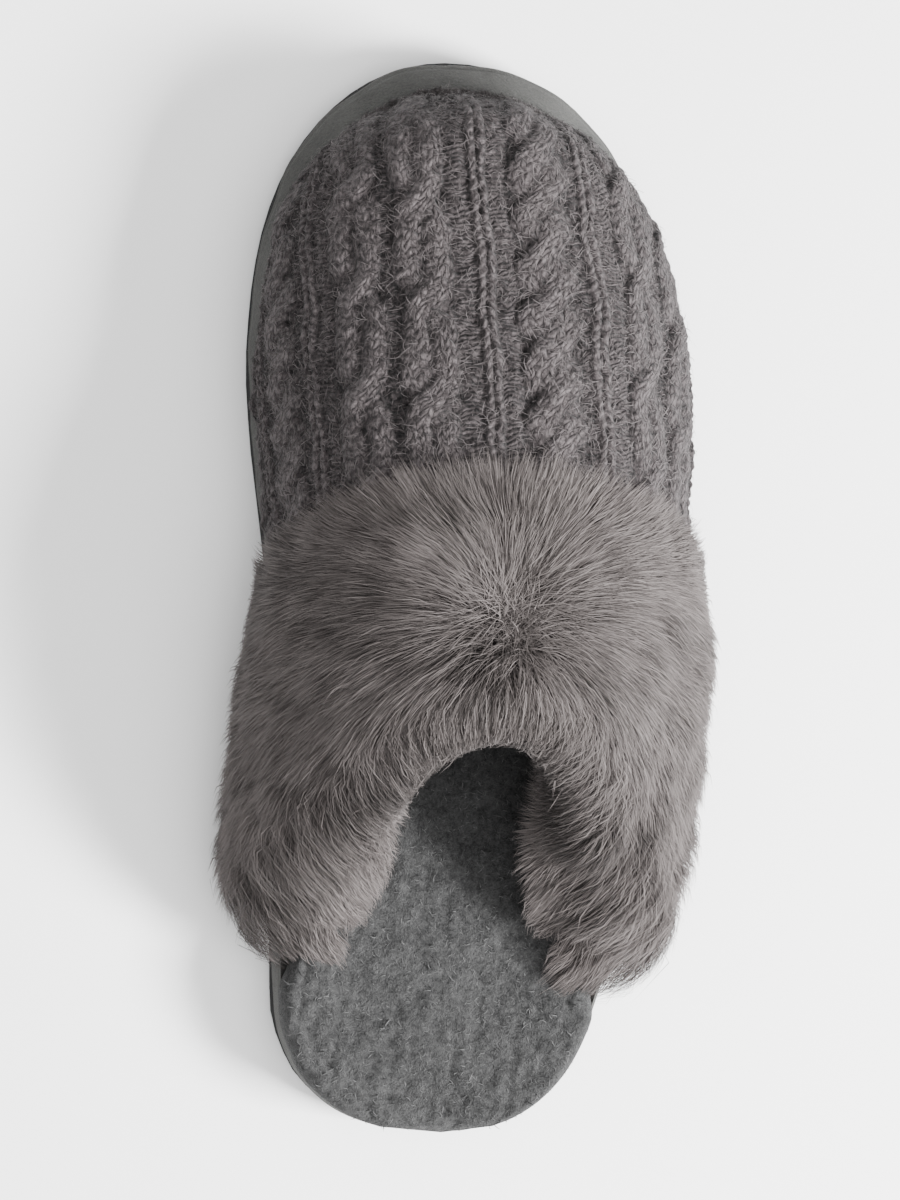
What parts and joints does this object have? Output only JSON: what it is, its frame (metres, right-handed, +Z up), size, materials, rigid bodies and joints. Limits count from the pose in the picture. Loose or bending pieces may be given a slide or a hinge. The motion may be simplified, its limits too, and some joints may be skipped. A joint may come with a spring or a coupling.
{
  "type": "knitted slipper",
  "caption": "Open-backed cable-knit slipper with a deep fur cuff, fleece footbed and suede-wrapped platform on a rubber sole.",
  "frame": {"origin": "centre of the part's bounding box on the floor plane under the sole", "axes": "+Y toward the toe, +X toward the lateral (outer) side, +Z up from the floor"},
  "size_m": [0.112, 0.258, 0.0945],
  "materials": {
    "rubber_outsole": "matte dark moulded rubber with fine texture",
    "suede_band": "matte grey microsuede wrap",
    "fleece_footbed": "short mottled grey fleece pile",
    "knit_upper": "soft fuzzy taupe cable knit",
    "fur": "long taupe fur with darker roots and lighter tips"
  },
  "bodies": {
    "root": {"outsole": "rubber_outsole", "midsole": "suede_band", "insole": "fleece_footbed", "upper": "knit_upper", "fur_cuff": "fur"}
  },
  "joints": []
}
